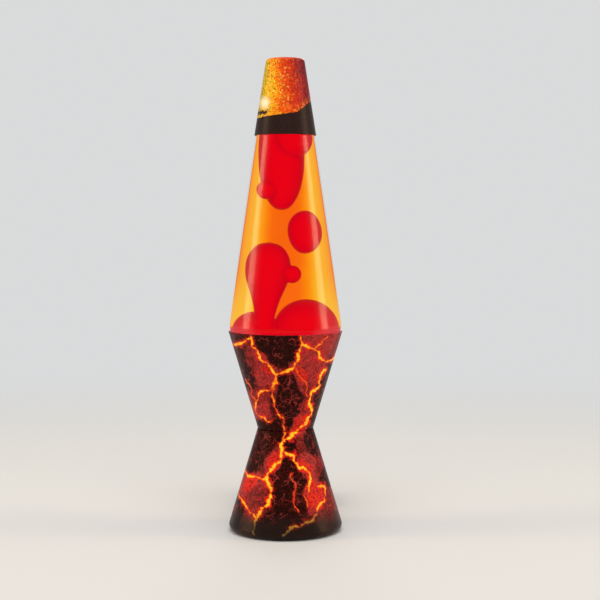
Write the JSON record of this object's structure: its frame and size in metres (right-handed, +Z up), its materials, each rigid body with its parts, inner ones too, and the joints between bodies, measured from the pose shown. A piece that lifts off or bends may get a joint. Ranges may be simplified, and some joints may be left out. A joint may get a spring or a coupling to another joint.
{
  "type": "lava lamp",
  "caption": "Hourglass motion lamp: printed metal base, tapered glass globe of amber liquid and red wax, metal cap, and a corded bulb inside.",
  "frame": {"origin": "centre of the base on the floor plane that its foot pads rest on", "axes": "+Z up along the lamp's axis; the front faces -Y; the cord leaves at +Y"},
  "size_m": [0.089, 0.2009, 0.368],
  "materials": {
    "lava_print": "satin printed sheet, black rock with glowing red and yellow cracks",
    "cap_print": "satin printed sheet, sparkling orange and red eruption over black",
    "globe_glass": "clear polished glass",
    "amber_liquid": "clear amber liquid, lit from below",
    "red_wax": "molten translucent red wax",
    "crown_metal": "lacquered crimped sheet",
    "crown_liner": "soft sealing liner",
    "steel": "zinc-plated steel",
    "brass": "stamped brass",
    "black_plastic": "fine moulded grain",
    "phenolic": "semi-gloss moulding",
    "rubber": "matte rubber",
    "bulb_glass": "clear thin glass",
    "tungsten": "drawn tungsten wire",
    "cord_pvc": "soft black PVC",
    "lead_white": "white insulation"
  },
  "bodies": {
    "base": {"base_plate": "black_plastic", "bracket_rivet_1": "steel", "bracket_rivet_2": "steel", "cord_lamp_side": "cord_pvc", "cord_plug_side": "cord_pvc", "cord_tie": "lead_white", "foot_pad_1": "rubber", "foot_pad_2": "rubber", "foot_pad_3": "rubber", "foot_pad_4": "rubber", "lampholder_body": "phenolic", "lampholder_contact": "brass", "lampholder_nipple": "steel", "lampholder_nut": "steel", "lampholder_shell": "brass", "lead_live": "cord_pvc", "lead_neutral": "lead_white", "lower_base_shell": "lava_print", "plate_screw_1": "steel", "plate_screw_2": "steel", "plate_screw_3": "steel", "plug_blade_live": "brass", "plug_blade_neutral": "brass", "plug_body": "black_plastic", "socket_bracket": "steel", "strain_relief": "black_plastic", "switch_contact_line": "brass", "switch_contact_load": "brass", "switch_housing_bottom": "black_plastic", "switch_housing_top": "black_plastic", "switch_pivot_pin": "steel", "switch_screw_1": "steel", "switch_screw_2": "steel", "terminal_screw_live": "brass", "terminal_screw_neutral": "brass", "upper_base_shell": "lava_print"},
    "globe": {"globe_bottle": "globe_glass", "crown_cap": "crown_metal", "crown_liner": "crown_liner", "amber_liquid": "amber_liquid", "wax_pool": "red_wax", "wax_upper_mass": "red_wax", "heating_coil": "steel"},
    "cap": {"decorative_cap": "cap_print"},
    "floating_wax": {"wax_floating_blob": "red_wax"},
    "bulb_contact": {"bulb_tip": "steel"},
    "bulb": {"bulb_insulator": "phenolic", "bulb_screw_base": "brass", "bulb_envelope": "bulb_glass", "bulb_stem": "bulb_glass", "bulb_wire_a": "steel", "bulb_wire_b": "steel", "bulb_filament": "tungsten"},
    "rocker": {"switch_rocker": "phenolic", "switch_plunger": "brass"},
    "contact_bridge": {"switch_bridge": "brass"}
  },
  "joints": [
    {"name": "globe_lift", "type": "slide", "parent": "base", "child": "globe", "axis": [0, 0, 1], "range_m": [0, 0.09]},
    {"name": "cap_lift", "type": "slide", "parent": "globe", "child": "cap", "axis": [0, 0, 1], "range_m": [0, 0.12]},
    {"name": "wax_rise", "type": "slide", "parent": "globe", "child": "floating_wax", "axis": [0, 0, 1], "range_m": [-0.032, 0.004]},
    {"name": "bulb_turn", "type": "hinge", "parent": "bulb_contact", "child": "bulb", "pos_m": [0, 0, 0], "axis": [0, 0, 1], "range_deg": [0, 1080]},
    {"name": "bulb_lift", "type": "slide", "parent": "base", "child": "bulb_contact", "axis": [0, 0, 1], "range_m": [0, 0.0085]},
    {"name": "rocker_tilt", "type": "hinge", "parent": "base", "child": "rocker", "pos_m": [0.024, 0.108, 0.0122], "axis": [1, 0, 0], "range_deg": [-16, 0]},
    {"name": "bridge_tilt", "type": "hinge", "parent": "base", "child": "contact_bridge", "pos_m": [0.024, 0.108, 0.0056], "axis": [1, 0, 0], "range_deg": [0, 8]}
  ],
  "couplings": [
    {"joint": "bulb_lift", "follows": "bulb_turn", "m_per_rad": 0.00044882},
    {"joint": "bridge_tilt", "follows": "rocker_tilt", "ratio": -0.5}
  ]
}
